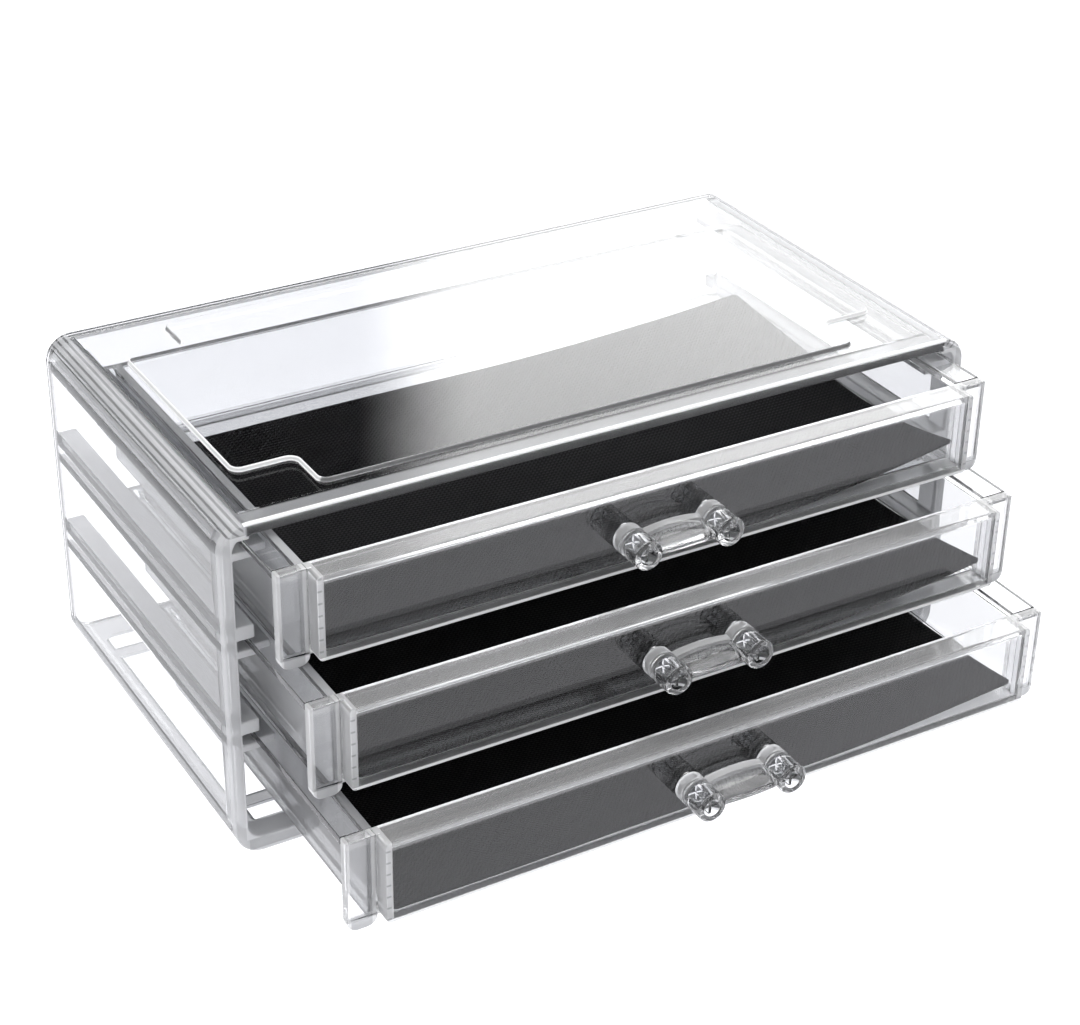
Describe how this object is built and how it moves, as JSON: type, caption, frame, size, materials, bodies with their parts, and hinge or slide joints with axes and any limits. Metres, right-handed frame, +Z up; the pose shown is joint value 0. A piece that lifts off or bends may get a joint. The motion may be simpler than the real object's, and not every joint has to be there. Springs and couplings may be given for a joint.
{
  "type": "drawer organizer",
  "caption": "Low clear casing with stacked clear pull-out trays for make-up and jewellery, each with a mesh mat and a two-post pull.",
  "frame": {"origin": "middle of the casing's underside, on the plane it stands on", "axes": "+X along the casing's width (to the right when facing the drawers), -Y the way the drawers open, +Z up"},
  "size_m": [0.24, 0.1999, 0.1052],
  "materials": {
    "case_clear": "clear, polished",
    "tray_clear": "clear, polished",
    "pull_clear": "clear, polished",
    "mat_mesh": "black woven mesh"
  },
  "bodies": {
    "case": {"case_shell": "case_clear", "case_back": "case_clear"},
    "drawer_top": {"tray_top": "tray_clear", "front_top": "tray_clear", "pull_top": "pull_clear", "mat_top": "mat_mesh"},
    "drawer_middle": {"tray_middle": "tray_clear", "front_middle": "tray_clear", "pull_middle": "pull_clear", "mat_middle": "mat_mesh"},
    "drawer_bottom": {"tray_bottom": "tray_clear", "front_bottom": "tray_clear", "pull_bottom": "pull_clear", "mat_bottom": "mat_mesh"}
  },
  "joints": [
    {"name": "top_slide", "type": "slide", "parent": "case", "child": "drawer_top", "axis": [0, -1, 0], "range_m": [-0.0157, 0.0743]},
    {"name": "middle_slide", "type": "slide", "parent": "case", "child": "drawer_middle", "axis": [0, -1, 0], "range_m": [-0.0327, 0.0573]},
    {"name": "bottom_slide", "type": "slide", "parent": "case", "child": "drawer_bottom", "axis": [0, -1, 0], "range_m": [-0.0512, 0.0388]}
  ]
}
